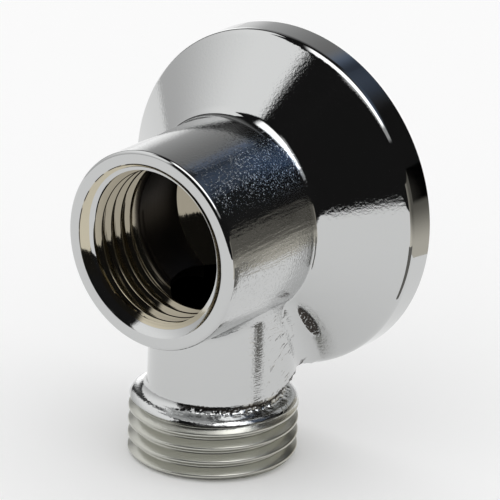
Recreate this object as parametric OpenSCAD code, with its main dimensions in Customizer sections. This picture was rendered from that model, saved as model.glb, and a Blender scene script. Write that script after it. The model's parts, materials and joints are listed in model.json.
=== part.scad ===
// Wall outlet elbow, cast in one piece and chrome plated, in millimetres.
// The origin is where the socket's axis (Y) crosses the outlet's axis (Z).
// The socket opens towards -Y, the flange stands on the wall at +Y, and the outlet points down.

/* [Pipe thread] */
// Outside diameter of the half inch pipe thread
thread_d = 20.955; // [20.8:0.005:21.1]
// Core diameter of the half inch pipe thread
thread_core_d = 18.631; // [18.4:0.001:18.8]
// Diameter of the countersink in front of each inner thread
countersink_d = 21.75; // [21.2:0.05:22.4]

/* [Socket] */
// Distance from the outlet's axis to the mouth of the socket
socket_reach = 13.6; // [12.5:0.1:18]
// Outside diameter of the socket
socket_d = 25; // [24:0.1:27]
// Depth of the socket, from its mouth to where the drill's point begins
socket_depth = 17; // [15:0.1:17.6]
// Rounding of the outer edge of the mouth
lip_r = 0.5; // [0.2:0.1:0.8]

/* [Wall flange] */
// Distance from the outlet's axis to the wall
wall_reach = 14; // [13.5:0.1:18]
// Diameter of the flange
flange_d = 42.5; // [40:0.5:54]
// Width of the straight band round the flange
band_w = 3.6; // [2.6:0.1:5]
// Rounding of the front edge of the band
band_edge_r = 1; // [0.4:0.1:1.5]
// Distance from the outlet's axis back to the small end of the cone
cone_reach = 2.9; // [1.5:0.1:4]
// Radius of the hollow corner between the socket and the cone
root_r = 2.6; // [1:0.1:4]
// Thickness of the flange's cone
cone_wall = 2.6; // [2:0.1:3]
// Thickness of the flange's band
band_wall = 2.6; // [1.8:0.1:4]

/* [Wall inlet] */
// Outside diameter of the inlet's hub
hub_d = 26; // [25:0.1:28]
// How far the end of the hub stands back from the wall
hub_setback = 0.8; // [0.3:0.1:1.5]
// Thickness of the web between the inlet and the socket, at the edge of its water way
web = 1.4; // [1.2:0.1:2]
// Diameter of the water way through the web
port_d = 12.5; // [8:0.1:14]

/* [Outlet] */
// Distance from the socket's axis to the end of the outlet
outlet_reach = 30.2; // [29:0.1:40]
// Length of the outlet's thread, with its rounded collar
outlet_thread = 8.1; // [7:0.1:9.4]
// Diameter of the water way through the outlet
outlet_bore = 11.6; // [8:0.1:12]
// Distance from the socket's axis to the end of that water way
bore_end = 8.2; // [7.9:0.1:8.6]
// Chamfer at the end of the outlet
end_chamfer = 0.5; // [0.3:0.1:0.9]
// Rounding of the collar's upper edge
collar_r = 1.4; // [0.6:0.1:1.8]

/* [Neck] */
// Width of the neck across its flat sides
neck_w = 16.5; // [15:0.1:17.5]
// How far the neck is drawn out towards the flange
neck_draw = 3.1; // [2:0.1:4]
// Radius of the hollow corner between the neck and the collar
foot_r = 0.8; // [0.4:0.1:0.9]

/* [Hidden] */
$fn = 96;
eps = 0.5;
chrome = [0.76, 0.76, 0.77];

socket_r = socket_d / 2;
core_r = thread_core_d / 2;
flange_r = flange_d / 2;
hub_r = hub_d / 2;
neck_r = neck_w / 2;
thread_r = thread_d / 2;
passage_r = outlet_bore / 2;
countersink_h = (countersink_d - thread_core_d) / 2;
web_front = socket_depth - socket_reach;
drill_rise = tan(31);
web_edge = web_front + (core_r - port_d / 2) * drill_rise;
web_back = web_edge + web;
hub_end = wall_reach - hub_setback;
band_front = wall_reach - band_w;
collar_top = -(outlet_reach - outlet_thread);

// The cone's slope: how far it goes back for each millimetre that it widens
slope = (band_front - cone_reach) / (flange_r - socket_r);
slant = sqrt(1 + slope * slope);
up_cone = [1, slope] / slant;

function unit(v) = v / norm(v);
function cone_y(r) = cone_reach + (r - socket_r) * slope;
function hollow_y(r) = cone_y(r) + cone_wall * slant;

// The area between a corner and the arc of radius r that touches both of its sides
module corner(tip, side_a, side_b, r) {
    half = acos(side_a * side_b) / 2;
    difference() {
        polygon([tip, tip + side_a * r / tan(half), tip + side_b * r / tan(half)]);
        translate(tip + unit(side_a + side_b) * r / sin(half)) circle(r);
    }
}

// Turns a profile of radius and distance along the socket's axis into a solid
module turned_on_socket() {
    rotate([-90, 0, 0]) rotate_extrude() children();
}

// Socket and flange, turned as one profile
module socket_and_flange() {
    turned_on_socket() {
        difference() {
            polygon([
                [0, -socket_reach], [socket_r, -socket_reach], [socket_r, cone_reach],
                [flange_r, band_front], [flange_r, wall_reach], [0, wall_reach]
            ]);
            corner([socket_r, -socket_reach], [-1, 0], [0, 1], lip_r);
            corner([flange_r, band_front], -up_cone, [0, 1], band_edge_r);
        }
        corner([socket_r, cone_reach], [0, -1], up_cone, root_r);
    }
}

// Ring-shaped hollow in the back of the flange, round the hub
module flange_hollow() {
    r_in = hub_r;
    r_out = flange_r - band_wall;
    turned_on_socket() difference() {
        polygon([
            [r_in, hollow_y(r_in)], [r_out, hollow_y(r_out)],
            [r_out, wall_reach + eps], [r_in, wall_reach + eps]
        ]);
        corner([r_out, hollow_y(r_out)], -up_cone, [0, 1], 0.8);
        corner([r_in, hollow_y(r_in)], up_cone, [0, 1], 0.8);
    }
}

// Socket bore with the drill's point, water way through the web, and inlet bore with its hub cut back
module bores_on_socket() {
    turned_on_socket() polygon([
        [0, -socket_reach - eps], [countersink_d / 2 + eps, -socket_reach - eps],
        [core_r, countersink_h - socket_reach], [core_r, web_front],
        [port_d / 2, web_edge], [port_d / 2, web_back],
        [core_r, web_back], [core_r, hub_end - countersink_h],
        [countersink_d / 2, hub_end], [hub_r + eps, hub_end],
        [hub_r + eps, wall_reach + eps], [0, wall_reach + eps]
    ]);
}

// Water way drilled up from the outlet's end, with the drill's point
module outlet_passage() {
    translate([0, 0, -outlet_reach - eps]) cylinder(r = passage_r, h = outlet_reach + eps - bore_end);
    translate([0, 0, -bore_end]) cylinder(r1 = passage_r, r2 = 0, h = passage_r * drill_rise);
    translate([0, 0, -outlet_reach - eps])
        cylinder(r1 = passage_r + end_chamfer + eps, r2 = passage_r, h = end_chamfer + eps);
}

// Neck: round in front and drawn out towards the flange. Turning the collar leaves its foot
// tapered, no wider than the collar's flat top.
module neck() {
    h = -collar_top - socket_r / 2 + eps;
    foot = thread_r - collar_r - eps;
    translate([0, 0, collar_top - eps]) intersection() {
        linear_extrude(h) {
            circle(neck_r);
            translate([0, neck_draw]) circle(neck_r);
            translate([-neck_r, 0]) square([neck_w, neck_draw]);
        }
        cylinder(r1 = foot, r2 = foot + h, h = h);
    }
}

// Outlet: rounded collar, thread at its full diameter and the hollow corner above it
module outlet() {
    rotate_extrude() {
        difference() {
            translate([0, -outlet_reach]) square([thread_r, outlet_thread]);
            corner([thread_r, collar_top], [-1, 0], [0, -1], collar_r);
            translate([thread_r, -outlet_reach]) rotate(45)
                square(end_chamfer * sqrt(2), center = true);
        }
        corner([neck_r, collar_top], [1, 0], [0, 1], foot_r);
    }
}

module elbow_body() {
    color(chrome) difference() {
        union() {
            socket_and_flange();
            neck();
            outlet();
        }
        flange_hollow();
        bores_on_socket();
        outlet_passage();
    }
}

elbow_body();
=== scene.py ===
import json
import math

import bpy
import numpy as np
from mathutils import Matrix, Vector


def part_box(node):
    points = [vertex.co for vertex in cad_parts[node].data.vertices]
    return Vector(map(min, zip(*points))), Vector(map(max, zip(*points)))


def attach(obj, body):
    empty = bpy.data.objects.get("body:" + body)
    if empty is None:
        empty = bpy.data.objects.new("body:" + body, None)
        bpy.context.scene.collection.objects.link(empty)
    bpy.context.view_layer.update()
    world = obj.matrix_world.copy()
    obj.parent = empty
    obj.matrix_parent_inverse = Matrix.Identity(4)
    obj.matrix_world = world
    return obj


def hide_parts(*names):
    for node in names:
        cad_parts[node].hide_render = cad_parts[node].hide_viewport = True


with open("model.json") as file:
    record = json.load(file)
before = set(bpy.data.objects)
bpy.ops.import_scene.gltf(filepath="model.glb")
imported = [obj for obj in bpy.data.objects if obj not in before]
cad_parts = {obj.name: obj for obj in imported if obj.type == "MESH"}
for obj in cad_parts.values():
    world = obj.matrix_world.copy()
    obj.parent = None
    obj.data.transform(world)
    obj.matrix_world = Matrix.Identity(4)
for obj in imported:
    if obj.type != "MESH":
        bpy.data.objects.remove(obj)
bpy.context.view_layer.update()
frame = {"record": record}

# --- The casting -----------------------------------------------------------
# Socket, neck and wall flange are one brass casting. Its faces run into each other
# in soft hollow corners, so its skin is worked out here as one smooth surface, in
# millimetres, and the machined faces are cut into it further down.

MM = 0.001
low, high = (np.array(corner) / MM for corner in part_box("elbow_body"))
mounts = {mount["name"]: mount for mount in frame["record"]["mounts"]}

flange_r = high[0]
mouth = low[1]
wall = high[1]
outlet_end = low[2]
thread_r = mounts["outlet_thread"]["dims"]["r_mm"]
core_r = mounts["socket_thread"]["dims"]["r_mm"]
passage_r = mounts["outlet_bore"]["dims"]["r_mm"]

socket_r = 12.5
cone_start = 2.9
band_front = wall - 3.6
root_r = (2.6, 1.0)
rim_r = 1.25
neck_r = 8.25
neck_draw = 3.1
collar_top = outlet_end + 8.1
collar_r = 1.4
tool_slope = 1.1
foot_r = 1.3
web_r = (0.6, 2.4)
spare = 0.6

cone_slope = (band_front - cone_start) / (flange_r - socket_r)
cone_slant = math.hypot(1, cone_slope)


def gradient(field, p):
    """Direction in which a field grows, by how much it changes over a hundredth of a millimetre."""
    shifts = np.eye(3) * 0.005
    return np.stack([field(p + s) - field(p - s) for s in shifts], -1) / 0.01


def hollow(a, b, cos, r):
    """Distance to two faces joined by a hollow corner of radius r, from the distances a and b
    to each and the cosine of the angle between their normals."""
    sin2 = np.maximum(1 - cos * cos, 0.02)
    u = (r - a - cos * (r - b)) / sin2
    v = (r - b - cos * (r - a)) / sin2
    arc = r - np.sqrt(np.maximum(u * u + v * v + 2 * cos * u * v, 0))
    return np.where((u > 0) & (v > 0), arc, np.minimum(a, b))


def rounded(a, b, cos, r):
    """The same for an outer corner."""
    return -hollow(-a, -b, cos, r)


def between(pair, at, start, end):
    """Goes softly from one value to another between two places."""
    part = np.clip((at - start) / (end - start), 0, 1)
    return pair[0] + (pair[1] - pair[0]) * part * part * (3 - 2 * part)


def socket_and_flange(p):
    r = np.hypot(p[..., 0], p[..., 2])
    cone = ((r - socket_r) * cone_slope + cone_start - p[..., 1]) / cone_slant
    lean = cone_slope / cone_slant
    flange = rounded(cone, r - flange_r, lean, rim_r)
    return hollow(r - socket_r, flange, lean, between(root_r, p[..., 0], 4, 12))


def neck(p):
    side = np.hypot(p[..., 0], p[..., 1] - np.clip(p[..., 1], 0, neck_draw)) - neck_r
    r = np.hypot(p[..., 0], p[..., 1])
    around = np.arctan2(p[..., 1], p[..., 0])
    ragged = between((0.8, 0), p[..., 0], 0, 2) + 0.09 * (np.sin(23 * around) + np.sin(37 * around + 1) + np.sin(54 * around + 2))
    turned = (r - neck_r - ragged - (p[..., 2] - collar_top - 0.6) / tool_slope) * tool_slope / math.hypot(1, tool_slope)
    return np.maximum(np.maximum(side, turned), p[..., 2] + neck_r / 2)


def collar(p):
    r = np.hypot(p[..., 0], p[..., 1])
    return rounded(r - thread_r, p[..., 2] - collar_top, 0.0, collar_r)


def cosine(one, other, p):
    a = gradient(one, p)
    b = gradient(other, p)
    size = np.linalg.norm(a, axis=-1) * np.linalg.norm(b, axis=-1)
    return (a * b).sum(-1) / np.maximum(size, 1e-6)


def neck_on_collar(p):
    return hollow(neck(p), collar(p), 0.0, foot_r)


def casting(p):
    meet = cosine(socket_and_flange, neck, p)
    upper = hollow(socket_and_flange(p), neck(p), meet, between(web_r, p[..., 0], 3, 8))
    foot = neck_on_collar(p)
    whole = np.where(p[..., 2] < collar_top + 1.2, np.minimum(foot, upper), upper)
    ends = np.maximum(np.abs(p[..., 1] - (mouth + wall) / 2) - (wall - mouth) / 2, outlet_end - p[..., 2])
    return np.maximum(whole, ends - spare)


def skin(field, start, end, step):
    """Points and quads of the surface on which a field is zero, one point to each crossed cell."""
    axes = [np.arange(s, e + step, step) for s, e in zip(start, end)]
    grid = np.stack(np.meshgrid(*axes, indexing="ij"), -1)
    solid = field(grid) < 0
    cells = sum(solid[i:len(solid) - 1 + i, j:solid.shape[1] - 1 + j, k:solid.shape[2] - 1 + k].astype(int)
                for i in (0, 1) for j in (0, 1) for k in (0, 1))
    crossed = (cells > 0) & (cells < 8)
    number = np.cumsum(crossed).reshape(crossed.shape) - 1
    points = grid[:-1, :-1, :-1][crossed] + step / 2
    for _ in range(6):
        slope = gradient(field, points)
        points -= (field(points) / (slope ** 2).sum(-1))[:, None] * slope
    quads = []
    for axis in range(3):
        near = np.moveaxis(solid, axis, 0)
        ids = np.moveaxis(number, axis, 0)
        here = near[:-1, 1:-1, 1:-1]
        there = near[1:, 1:-1, 1:-1]
        ring = np.stack([ids[:, :-1, :-1], ids[:, 1:, :-1], ids[:, 1:, 1:], ids[:, :-1, 1:]], -1)
        turn = 1 if axis != 1 else -1
        quads.append(ring[here & ~there][:, ::turn])
        quads.append(ring[there & ~here][:, ::-turn])
    return points, np.concatenate(quads)


def solid(name, points, faces, normals=None, side=-1):
    """Object in metres from points in millimetres. Every face corner keeps the normal of its own
    face, so that the cuts made later don't bend the light on it."""
    mesh = bpy.data.meshes.new(name)
    mesh.from_pydata((np.asarray(points) * MM).tolist(), [], [[int(i) for i in f] for f in faces])
    corners = np.empty(len(mesh.loops), int)
    mesh.loops.foreach_get("vertex_index", corners)
    if normals is None:
        mesh.shade_smooth()
        mesh.set_sharp_from_angle(angle=math.radians(28))
        at_corner = np.empty(len(corners) * 3)
        mesh.corner_normals.foreach_get("vector", at_corner)
        at_corner = side * at_corner.reshape(-1, 3)
    else:
        at_corner = normals[corners]
    mesh.attributes.new("true_normal", "FLOAT_VECTOR", "CORNER").data.foreach_set("vector", at_corner.ravel())
    made = bpy.data.objects.new(name, mesh)
    bpy.context.scene.collection.objects.link(made)
    return made


margin = 2 * spare
points, quads = skin(casting, low - margin, high + margin, 0.4)
slopes = gradient(casting, points)
elbow = solid("chromed_elbow", points, quads, slopes / np.linalg.norm(slopes, axis=-1)[:, None])

# --- Turned faces ----------------------------------------------------------
# The casting is machined on a lathe: the mouth, the wall side and the water ways
# are cutters here, turned solids that are taken out of the casting.

SIDES = 144
lip_r = 0.5
countersink_r = 10.875
socket_floor = 3.4
port_r = 6.25
drill_rise = math.tan(math.radians(31))
web_back = socket_floor + (core_r - port_r) * drill_rise + 1.4
hub_r = 13.0
hub_end = wall - 0.8
cone_wall = 2.6
hollow_r = flange_r - 2.6
bore_end = -8.2
end_chamfer = 0.5
clear = 9.0
TURN = np.arange(SIDES) * 2 * math.pi / SIDES

# Where the tap has broken out the first ridge in front of its thread, most at the top
broken = np.maximum(np.cos(TURN), 0)
shelf_r = 10.05 + 0.5 * broken
ridge_r = core_r - 0.05 + 0.75 * broken
shelf = mouth + countersink_r - shelf_r
shelf_end = shelf + (shelf_r - ridge_r) * 0.4
first_root = mouth + 0.3 + 25.4 / 14 * (1 + ((TURN / math.pi + 1) % 2 - 1) / 2)


def place(r, along, turn, axis):
    """Points from radius, distance along the axis and angle round it."""
    if axis == "Y":
        return np.stack([r * np.sin(turn), along + 0 * turn, r * np.cos(turn)], -1)
    return np.stack([r * np.cos(turn), r * np.sin(turn), along + 0 * turn], -1)


def arc(centre, r, start, end, steps=8):
    """Points of radius and distance on an arc, between two angles in degrees."""
    turn = np.radians(np.linspace(start, end, steps + 1))
    return [(centre[0] + r * math.cos(t), centre[1] + r * math.sin(t)) for t in turn]


def turned(name, profile, axis):
    """Cutter turned from points of radius and distance, listed so that the distance grows on the outside."""
    rings = np.stack([place(r, a, TURN, axis) for r, a in profile])
    tips = np.stack([place(0, a, np.zeros(1), axis)[0] for a in (profile[0][1], profile[-1][1])])
    ids = np.arange(len(rings) * SIDES).reshape(-1, SIDES)
    after = np.roll(ids, -1, 1)
    faces = np.stack([ids[:-1], after[:-1], after[1:], ids[1:]], -1).reshape(-1, 4).tolist()
    faces += [(ids.size, k, j) for j, k in zip(ids[0], after[0])]
    faces += [(ids.size + 1, j, k) for j, k in zip(ids[-1], after[-1])]
    return solid(name, np.concatenate([rings.reshape(-1, 3), tips]), faces)


def cut(cutter, operation="DIFFERENCE"):
    """Takes a cutter out of the elbow."""
    step = elbow.modifiers.new(cutter.name, "BOOLEAN")
    step.solver = "MANIFOLD"
    step.operation = operation
    step.object = cutter
    with bpy.context.temp_override(object=elbow, active_object=elbow):
        bpy.ops.object.modifier_apply(modifier=step.name)
    bpy.data.objects.remove(cutter)


def hollow_y(r):
    return cone_start + cone_wall * cone_slant + (r - socket_r) * cone_slope


cut(turned("mouth", [
    (flange_r, mouth - clear), (flange_r, mouth + lip_r), (socket_r + 0.002, mouth + lip_r),
    *arc((socket_r - lip_r, mouth + lip_r), lip_r, 0, -90),
    (countersink_r, mouth), (shelf_r, shelf), (ridge_r, shelf_end), (ridge_r, first_root),
    (core_r - 1, first_root + 0.05), (core_r - 1, mouth + 4),
], "Y"))
cut(turned("port", [(port_r, socket_floor), (port_r, web_back + 1)], "Y"))
cut(turned("wall_side", [
    (core_r, web_back), (core_r, hub_end - countersink_r + core_r), (countersink_r, hub_end), (hub_r, hub_end),
    (hub_r, hollow_y(hub_r)), (hollow_r, hollow_y(hollow_r)), (hollow_r, wall),
    (flange_r + clear, wall), (flange_r + clear, wall + clear),
], "Y"))
cut(turned("passage", [
    (passage_r + end_chamfer + 1, outlet_end - 1), (passage_r, outlet_end + end_chamfer), (passage_r, bore_end),
    (0.05, bore_end + (passage_r - 0.05) * drill_rise),
], "Z"))

# --- Pipe threads ----------------------------------------------------------
# Half inch pipe thread, cut with a tap in the socket and the wall inlet and with a die
# on the outlet: 55 degree flanks, rounded crests and roots, 14 turns to the inch.

pitch = 25.4 / 14
thread_depth = 0.640327 * pitch
crest_r = 0.137329 * pitch
flank_turn = math.radians(62.5)
bend = np.linspace(0, flank_turn, 4)
crest = np.stack([crest_r * np.sin(bend), crest_r * (1 - np.cos(bend))], -1)
root = np.array([pitch / 2, thread_depth]) - crest[::-1]
half = np.concatenate([crest, root])
turn_back = half[-2:0:-1] * (-1, 1) + (pitch, 0)
one_turn = np.concatenate([half, turn_back])
lead = pitch * TURN / (2 * math.pi)


def depth_at(along):
    """Depth of the thread below its crest, along an axis on which a crest lies at 0."""
    return np.interp(along % pitch, *np.append(one_turn, [(pitch, 0)], 0).T)


def threaded(name, before, start, end, radius, crest_at, after, axis, side=-1):
    """Cutter with a thread between start and end, and turned profiles before and after it."""
    def ring(at):
        return place(radius(at, depth_at(at - crest_at - lead)), at, TURN, axis)

    size = len(one_turn)
    turns = math.ceil((end - start) / pitch) + 2
    first = crest_at - pitch * (math.ceil((crest_at - start) / pitch) + 1)
    along = first + np.concatenate([one_turn[:, 0] + pitch * t for t in range(turns + 1)])[:, None] + lead
    rings = [place(a, b, TURN, axis) for a, b in before] + [ring(start)]
    rings += [ring(np.clip(a, start, end)) for a in along] + [ring(end)]
    rings += [place(a, b, TURN, axis) for a, b in after]
    ids = np.arange(len(rings) * SIDES).reshape(-1, SIDES)
    begin, finish = len(before), len(before) + len(along) + 1
    thread = ids[begin + 1:finish]
    thread[along <= start] = np.broadcast_to(ids[begin], along.shape)[along <= start]
    thread[along >= end] = np.broadcast_to(ids[finish], along.shape)[along >= end]
    after_ids = np.roll(ids, -1, 1)
    after_ids[begin + 1:finish, -1] = np.append(thread[size:, 0], np.full(size, ids[finish, 0]))
    quads = np.stack([ids[:-1], after_ids[:-1], after_ids[1:], ids[1:]], -1).reshape(-1, 4)
    faces = [list(dict.fromkeys(q)) for q in quads.tolist()]
    faces = [f for f in faces if len(f) > 2]
    tips = [place(0, a, np.zeros(1), axis)[0] for a in (before[0][1], after[-1][1])]
    faces += [[ids.size, k, j] for j, k in zip(ids[0], after_ids[0])]
    faces += [[ids.size + 1, j, k] for j, k in zip(ids[-1], after_ids[-1])]
    points = np.concatenate([np.concatenate(rings), tips])
    used, short = np.unique(np.concatenate(faces), return_inverse=True)
    lengths = np.cumsum([len(f) for f in faces])[:-1]
    return solid(name, points[used], np.split(short, lengths), side=side)


tapped_end = -3.1
tap_lead = 1.5 * pitch


def tapped(along, depth):
    """Radius of the socket's tapped hole: its thread runs out over the last turns of the tap."""
    left = np.clip((tapped_end - along) / tap_lead, 0, 1) * np.clip((along - shelf_end) / 0.3, 0, 1)
    return core_r + (thread_depth - depth) * left


def tapped_back(along, depth):
    left = np.clip((along - web_back - 1) / tap_lead, 0, 1)
    return core_r + (thread_depth - depth) * left


die_end = -22.6
die_lead = 0.6 * pitch


def died(along, depth):
    """Radius of the outlet's thread, which the die leaves off just under the collar."""
    left = np.clip((die_end - along) / die_lead, 0, 1)
    r = thread_r - 0.06 - depth * left + np.clip(along - die_end, 0, 9) * 2
    return np.minimum(r, thread_r - 0.6 + (along - outlet_end))


socket_crest = mouth + 0.3
outlet_crest = -24.38 - 0.605 * pitch
cut(threaded("socket_thread", [(core_r, mouth - 1)], mouth - 0.5, tapped_end, tapped, socket_crest,
             [(core_r, tapped_end + 0.01), (core_r, socket_floor),
              (port_r - spare, socket_floor + (core_r - port_r + spare) * drill_rise)], "Y"))
cut(threaded("inlet_thread", [(core_r, web_back + 0.5)], web_back + 1, hub_end + 0.5, tapped_back, 0.0,
             [(core_r, hub_end + 1)], "Y"))
cut(threaded("outlet_thread", [(passage_r - 1, outlet_end)], outlet_end, -22, died, outlet_crest,
             [(2 * flange_r, -21.9), (2 * flange_r, 2 * flange_r)], "Z", side=1), "INTERSECT")

kept = elbow.data.attributes["true_normal"]
normals = np.empty(len(elbow.data.loops) * 3)
kept.data.foreach_get("vector", normals)
elbow.data.attributes.remove(kept)
normals = normals.reshape(-1, 3)
normals /= np.maximum(np.linalg.norm(normals, axis=1), 1e-9)[:, None]
elbow.data.shade_smooth()
elbow.data.normals_split_custom_set(normals.tolist())

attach(elbow, "root")
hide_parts("elbow_body")

# --- Chrome plating --------------------------------------------------------
# Bright nickel and chrome over the brass.


class Field:
    """A shader socket that Python's operators work on."""

    def __init__(self, nodes, socket):
        self.nodes, self.socket = nodes, socket

    def math(self, operation, *others, swap=False):
        values = [*others, self] if swap else [self, *others]
        return self.nodes.add("ShaderNodeMath", {"operation": operation}, dict(enumerate(values)))

    def __add__(self, other):
        return self.math("ADD", other)

    def __mul__(self, other):
        return self.math("MULTIPLY", other)

    def __truediv__(self, other):
        return self.math("DIVIDE", other)

    def __sub__(self, other):
        return self.math("SUBTRACT", other)

    def __rsub__(self, other):
        return self.math("SUBTRACT", other, swap=True)

    __radd__, __rmul__ = __add__, __mul__

    def rise(self, start, end):
        """0 before start and 1 after end, with a soft step between them."""
        return self.nodes.add("ShaderNodeMapRange", {"interpolation_type": "SMOOTHSTEP"},
                              {"Value": self, "From Min": start, "From Max": end})

    def within(self, start, end, soft):
        return self.rise(start - soft, start + soft) * (1 - self.rise(end - soft, end + soft))


class Nodes:
    """The nodes of one material or of the world."""

    def __init__(self, owner):
        owner.use_nodes = True
        self.tree = owner.node_tree
        self.tree.nodes.clear()

    def add(self, kind, settings=None, values=None, output=0):
        node = self.tree.nodes.new(kind)
        for key, value in (settings or {}).items():
            setattr(node, key, value)
        for key, value in (values or {}).items():
            if isinstance(value, Field):
                self.tree.links.new(value.socket, node.inputs[key])
            else:
                node.inputs[key].default_value = value
        return Field(self, node.outputs[output]) if node.outputs else None

    def split(self, vector):
        """The three parts of a vector."""
        node = self.tree.nodes.new("ShaderNodeSeparateXYZ")
        self.tree.links.new(vector.socket, node.inputs[0])
        return [Field(self, part) for part in node.outputs]


chrome = bpy.data.materials.new("chrome")
on = Nodes(chrome)
spot = on.add("ShaderNodeTexCoord", output="Object")
x, y, z = on.split(spot)
from_y = (x * x + z * z).math("SQRT")
from_z = (x * x + y * y).math("SQRT")
on_shelf = (1 - (from_y + y).rise(-0.00280, -0.00275)) * (1 - y.rise(-0.0122, -0.0120))
lower = 1 - z.rise(-0.0065, -0.0045)
inside = (1 - from_y.rise(0.01082, 0.01092)) * (1 - y.rise(0.0066, 0.0067))
inside = inside * (1 - on_shelf * (1 - lower) - (1 - on_shelf) * lower * (1 - y.rise(-0.0128, -0.0124)))
turned_ring = 1 - y.rise(-0.0135, -0.0133)
deep = y.rise(-0.0127, -0.0110)
thread = (1 - z.rise(-0.0236, -0.0226)) * (1 - inside)
front = 1 - (y - from_y * 0.857).rise(-0.0068, -0.0058)
cast_socket = from_y.within(0.0122, 0.0130, 0.0001) * (1 - y.rise(0.0018, 0.0035)) * y.rise(-0.0133, -0.0122) * (1 - inside)
cast_neck = (1 - z.rise(-0.0102, -0.0085)) * z.rise(-0.0234, -0.0226) * (1 - from_z.rise(0.0145, 0.017)) * (1 - inside) * front
fine = on.add("ShaderNodeTexNoise", values={"Vector": spot, "Scale": 2800.0, "Detail": 3.0, "Roughness": 0.6})
pits = on.add("ShaderNodeTexNoise", values={"Vector": spot, "Scale": 3600.0, "Detail": 1.0}).rise(0.56, 0.68)
waves = on.add("ShaderNodeTexNoise", values={"Vector": spot, "Scale": 500.0, "Detail": 2.0, "Roughness": 0.5})
right_side = x.rise(0.002, 0.009)
cast_top = cast_socket * right_side * z.rise(0.0055, 0.0095) * (0.35 + y.rise(-0.0075, -0.002) * 0.65)
cast_foot = z.within(-0.0236, -0.0205, 0.0004) * (1 - inside) * x.rise(0.0003, 0.0025)
flat_side = cast_neck * x.rise(0.005, 0.0075) * y.rise(-0.001, 0.001) * (1 - y.rise(0.0042, 0.0055))
marks = on.add("ShaderNodeTexNoise", values={"Scale": 3000.0, "Detail": 1.0, "Vector": on.add(
    "ShaderNodeCombineXYZ", values={0: z * 0.87 - y * 0.49, 1: z * 0.12 + y * 0.21, 2: x * 0.3})}).rise(0.6, 0.78)
hatch = on.add("ShaderNodeTexNoise", values={"Scale": 4200.0, "Detail": 2.0, "Vector": on.add(
    "ShaderNodeCombineXYZ", values={0: z, 1: (x + y) * 0.12, 2: 0.0})})
lathe = on.add("ShaderNodeTexNoise", values={"Scale": 3000.0, "Detail": 2.0, "Vector": on.add(
    "ShaderNodeCombineXYZ", values={0: from_y, 1: y, 2: 0.0})})
streaks = on.add("ShaderNodeTexNoise", values={"Scale": 1500.0, "Detail": 3.0, "Vector": on.add(
    "ShaderNodeCombineXYZ", values={0: x, 1: y * 0.08, 2: z})})
# A shallow pit in the hollow between the neck and the flange's cone, made in the bumps; its near-black colour below
# is a painted dark reflection, broken by light specks
off_pit = ((y - 0.0056) * 0.809 + (z + 0.01225) * 0.588) / 0.0004
along_pit = ((y - 0.0056) * 0.588 - (z + 0.01225) * 0.809) / 0.0032
pit = (1 - (off_pit * off_pit + along_pit * along_pit).rise(0.4, 1.1)) * x.rise(0.0085, 0.0092) * (1 - inside)
cut_edge = from_z - (z + 0.0215) / 1.1 - 0.00825 + (waves - 0.5) * 0.0014 + (fine - 0.5) * 0.0009
# Painted shade: a thin ragged dark line along the edge of the turned cut at the neck's foot
painted_cut_shade = ((1 - cut_edge.math("ABSOLUTE").rise(0.0001, 0.00028)) * x.rise(0.0003, 0.0025) * (1 - inside)
            * from_z.rise(0.0076, 0.008) * (1 - z.rise(-0.0190, -0.0182)) * (1 - y.rise(0.008, 0.009)))
# Painted shade: a broken dark line round the inner edge of the mouth ring, on its upper half
painted_ring_edge_shade = (from_y.within(0.01080, 0.01090, 0.00002) * (1 - y.rise(-0.01345, -0.01335)) * z.rise(-0.005, 0)
        * waves.rise(0.40, 0.48))
# Painted shade: near-black colour laid into the deeper part of the socket's bore, the pit, the line along the
# neck's turned cut and the inner edge of the mouth ring, with more roughness there
painted_shade = inside * y.rise(-0.0046, -0.0040) * (1 - y.rise(0.0033, 0.0034)) + (pit * (1 - pits)).rise(0.3, 0.6) + painted_cut_shade + painted_ring_edge_shade
cast_cone = from_y.rise(0.0128, 0.0140) * (1 - y.rise(0.0098, 0.0102)) * front
cast = cast_socket * (0.3 + right_side * 0.7) + cast_neck * (0.1 + right_side * 0.4)
relief = (fine * (0.04 + cast * 0.9 + cast_cone * 0.7 + thread * 0.35) + waves * (0.05 + cast * 0.2 + cast_foot * 3)
          + pits * (cast_top * 2 + cast * 0.35) + marks * flat_side * 3 + hatch * cast_neck * x.rise(0.004, 0.0065) * 1.6
          + streaks * cast_socket * right_side * 2.5 + (waves + pits - 3) * pit * 3
          + lathe * (inside * 1.2 + turned_ring * 0.4))
bumps = on.add("ShaderNodeBump", values={"Height": relief, "Strength": 1.0, "Distance": 0.00002})
roughness = 0.05 + thread * 0.24 + inside * 0.02 + cast * 0.05 + cast_top * 0.03 + painted_shade * 0.3
clean = on.add("ShaderNodeMix", {"data_type": "RGBA"}, {
    0: thread, 6: (0.55, 0.556, 0.554, 1), 7: (0.51, 0.51, 0.465, 1)}, output=2)
# Painted sheen: the top right of the cast socket is tinted blue, for the soft box's bluish light mirrored in its
# rough skin
painted_blue_sheen = on.add("ShaderNodeMix", {"data_type": "RGBA"}, {
    0: cast_top, 6: clean, 7: (0.42, 0.53, 0.70, 1)}, output=2)
# Inside the socket: brass colour at the mouth, going darker further in as painted shade of the hollow
brass_and_painted_shade = on.add("ShaderNodeMix", {"data_type": "RGBA"}, {
    0: deep, 6: (0.53, 0.485, 0.375, 1), 7: (0.33, 0.30, 0.235, 1)}, output=2)
plating = on.add("ShaderNodeMix", {"data_type": "RGBA"}, {
    0: inside, 6: painted_blue_sheen, 7: brass_and_painted_shade}, output=2)
# Base colour: the plating, with the painted shade mixed in near-black
metal = on.add("ShaderNodeMix", {"data_type": "RGBA"}, {
    0: painted_shade, 6: plating, 7: (0.055, 0.048, 0.042, 1)}, output=2)
finish = on.add("ShaderNodeBsdfPrincipled", values={
    "Base Color": metal, "Metallic": 1.0, "Roughness": roughness, "Normal": bumps})
on.add("ShaderNodeOutputMaterial", values={"Surface": finish})
elbow.data.materials.clear()
elbow.data.materials.append(chrome)

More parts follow.
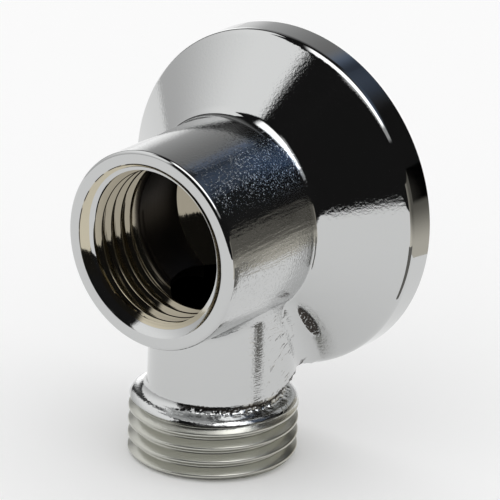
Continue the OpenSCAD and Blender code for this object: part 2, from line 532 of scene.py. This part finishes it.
# --- Floor, studio and camera ----------------------------------------------
# The elbow stands on its outlet on a plain white table. Bright metal is lit by what it
# mirrors: a large soft box overhead to the right, a white card to the left, black between them.

bpy.ops.mesh.primitive_plane_add(size=0.7, location=(0, 0, low[2] * MM))
floor = bpy.context.object
floor.name = "floor"
white = bpy.data.materials.new("white_table")
on = Nodes(white)
paint = on.add("ShaderNodeBsdfDiffuse", values={"Color": (0.96, 0.96, 0.96, 1)})
mirrored = on.add("ShaderNodeLightPath", output="Is Glossy Ray")
east, north, _ = on.split(on.add("ShaderNodeNewGeometry", output="Position"))
open_table = (east * east + north * north).math("SQRT").rise(0.0105, 0.0125)
bright = on.add("ShaderNodeEmission", values={"Strength": 1.0})
table = on.add("ShaderNodeMixShader", values={0: mirrored * open_table * 0.5, 1: paint, 2: bright})
on.add("ShaderNodeOutputMaterial", values={"Surface": table})
floor.data.materials.append(white)

screen_r = 0.068
bends = np.radians(np.linspace(92, 188, 17))
edge = np.stack([0.008 + screen_r * np.sin(bends), -0.002 - screen_r * np.cos(bends)], -1)
corners = [(*at, level) for level in (low[2] * MM, 0.017) for at in edge]
walls = [(i, i + 1, i + 1 + len(edge), i + len(edge)) for i in range(len(edge) - 1)]
curved = bpy.data.meshes.new("curved_screen")
curved.from_pydata(corners, [], walls)
# Painted shadow: a narrow dim sheet on the table to the right, seen only in reflections, standing in for the
# elbow's own shadow on the table
bpy.ops.mesh.primitive_plane_add(size=1, location=(0.034, 0.0112, -0.0185), rotation=(0, math.pi / 2, 0))
bpy.context.object.name = "floor_shadow_card"
bpy.context.object.scale = (0.023, 0.0105, 1)
screen = bpy.data.objects.new("curved_screen", curved)
bpy.context.scene.collection.objects.link(screen)
grey = bpy.data.materials.new("grey_card")
on = Nodes(grey)
across, back, level = on.split(on.add("ShaderNodeNewGeometry", output="Position"))
nearer = 1 - back.rise(0.0, 0.03)
lit = (0.13 * (1 - back.rise(0.046, 0.050) * level.rise(-0.002, 0.001)) + nearer * 0.2
       + (1 - level.rise(-0.024, -0.001)) * 0.5)
warm = on.add("ShaderNodeMix", {"data_type": "RGBA"}, {0: lit, 6: (0, 0, 0, 1), 7: (1, 0.95, 0.83, 1)}, output=2)
glow = on.add("ShaderNodeEmission", values={"Color": warm, "Strength": 1.0})
on.add("ShaderNodeOutputMaterial", values={"Surface": glow})
# Its dim glow paints the shadow that the table shows in the chrome
dark = bpy.data.materials.new("painted_shadow_card")
on = Nodes(dark)
glow = on.add("ShaderNodeEmission", values={"Color": (1, 0.97, 0.9, 1), "Strength": 0.17})
on.add("ShaderNodeOutputMaterial", values={"Surface": glow})
for card, paint in ((bpy.context.object, dark), (screen, grey)):
    card.visible_camera = card.visible_diffuse = card.visible_shadow = False
    card.data.materials.append(paint)

world = bpy.data.worlds.new("studio")
bpy.context.scene.world = world
on = Nodes(world)
x, y, z = on.split(on.add("ShaderNodeTexCoord", output="Generated"))
degrees = 180 / math.pi
side = x.math("ARCTAN2", 0 - y) * degrees
height = z.math("ARCSINE") * degrees

aloft = z.math("MAXIMUM", 0.1)
across = x / aloft
along = y / aloft
soft_box = across.within(-0.27, 1.02, 0.07) * along.within(-0.46, 0.17, 0.07) * z.rise(0.2, 0.3)
spill = across.within(0.14, 1.4, 0.1) * along.within(-0.78, 0.28, 0.12) * z.rise(0.2, 0.3)
facing = on.add("ShaderNodeMath", {"operation": "MAXIMUM"}, {0: x * -0.819 - y * 0.574, 1: 0.05})
left_card = ((x * 0.574 - y * 0.819) / facing).within(-1.8, 0.53, 0.07) * (1 - (z / facing - (1 - side.rise(-98, -84)) * 0.9).rise(1.38, 1.5))
wall = ((1 - side.rise(-133, -117)) * (1 - (1 - side.rise(-178, -164)) * height.rise(18, 32))
        * (1 - height / 58).math("MAXIMUM", 0))
window = side.within(-137, -127, 3) * height.within(-32, 17, 4)
far_glow = side.within(105, 178, 9) * height.within(42, 60, 6)
haze = (side.rise(140, 160) + 1 - side.rise(-172, -160)) * height.within(36, 44, 4)
seen_light = (0.01 + soft_box * 2 + spill * 0.45 + left_card * (0.6 + height.rise(-5, 42) * 0.55)
              + wall * 0.6 + window * 1.2 + far_glow * 0.09 + haze * 0.05)
mirrored = on.add("ShaderNodeLightPath", output="Is Glossy Ray")
strength = 1 + mirrored * (seen_light - 1)
cool = on.add("ShaderNodeMix", {"data_type": "RGBA"}, {
    0: mirrored * (far_glow + haze), 6: (1, 1, 1, 1), 7: (0.72, 0.92, 1.3, 1)}, output=2)
air = on.add("ShaderNodeBackground", values={"Color": cool, "Strength": strength})
on.add("ShaderNodeOutputWorld", values={"Surface": air})

lens = bpy.data.cameras.new("camera")
lens.sensor_width = 36
lens.lens = 6576.15 / 500 * 36
lens.clip_start = 0.01
camera = bpy.data.objects.new("camera", lens)
right = (0.78927, 0.61315, 0.03317)
down = (0.25438, -0.27733, -0.92649)
ahead = (-0.55888, 0.73968, -0.37486)
turn = Matrix([right, [-d for d in down], [-a for a in ahead]]).transposed()
camera.matrix_world = Matrix.Translation((0.448372, -0.58714, 0.294995)) @ turn.to_4x4()
bpy.context.scene.collection.objects.link(camera)
bpy.context.scene.camera = camera
bpy.context.scene.view_settings.view_transform = "Standard"
